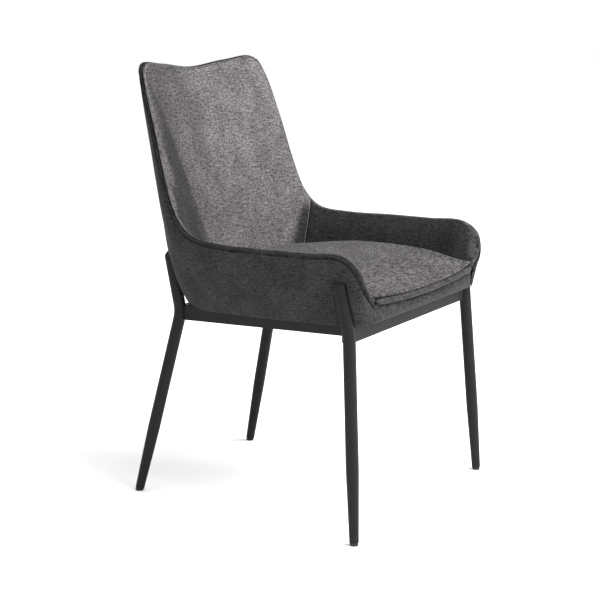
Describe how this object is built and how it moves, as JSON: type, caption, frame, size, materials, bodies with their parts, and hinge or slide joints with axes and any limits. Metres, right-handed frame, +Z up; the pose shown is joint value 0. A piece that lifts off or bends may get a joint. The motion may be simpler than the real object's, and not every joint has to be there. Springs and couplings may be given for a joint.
{
  "type": "dining chair",
  "caption": "Upholstered dining chair with a bucket shell, low curved arms and a tall back on a slim steel tube frame with splayed, tapered legs",
  "frame": {"origin": "centre of the bounding box at floor level, between the four feet", "axes": "+Z up; the chair faces -Y; the sitter's left arm is at +X"},
  "size_m": [0.5778, 0.5796, 0.8969],
  "materials": {
    "powder_coated_steel": "matte black powder coat",
    "zinc": "zinc plated",
    "nylon": "matte moulded nylon",
    "plywood": "raw plywood",
    "chenille": "charcoal melange chenille",
    "liner": "black non-woven polypropylene"
  },
  "bodies": {
    "root": {"back_core": "plywood", "back_lining": "chenille", "back_outer_cover": "chenille", "dust_cover": "liner", "front_border": "chenille", "front_edge_band": "chenille", "front_left_corner_plate": "powder_coated_steel", "front_left_glide": "nylon", "front_left_leg": "powder_coated_steel", "front_left_seat_bolt": "zinc", "front_left_tee_nut": "zinc", "front_left_washer": "zinc", "front_rail": "powder_coated_steel", "front_right_corner_plate": "powder_coated_steel", "front_right_glide": "nylon", "front_right_leg": "powder_coated_steel", "front_right_seat_bolt": "zinc", "front_right_tee_nut": "zinc", "front_right_washer": "zinc", "left_arm_lining": "chenille", "left_core": "plywood", "left_edge_band": "chenille", "left_outer_cover": "chenille", "left_rail": "powder_coated_steel", "rear_left_corner_plate": "powder_coated_steel", "rear_left_glide": "nylon", "rear_left_leg": "powder_coated_steel", "rear_left_seat_bolt": "zinc", "rear_left_tee_nut": "zinc", "rear_left_washer": "zinc", "rear_rail": "powder_coated_steel", "rear_right_corner_plate": "powder_coated_steel", "rear_right_glide": "nylon", "rear_right_leg": "powder_coated_steel", "rear_right_seat_bolt": "zinc", "rear_right_tee_nut": "zinc", "rear_right_washer": "zinc", "right_arm_lining": "chenille", "right_core": "plywood", "right_edge_band": "chenille", "right_outer_cover": "chenille", "right_rail": "powder_coated_steel", "seat_board": "plywood", "seat_cushion": "chenille", "top_edge_band": "chenille"}
  },
  "joints": []
}
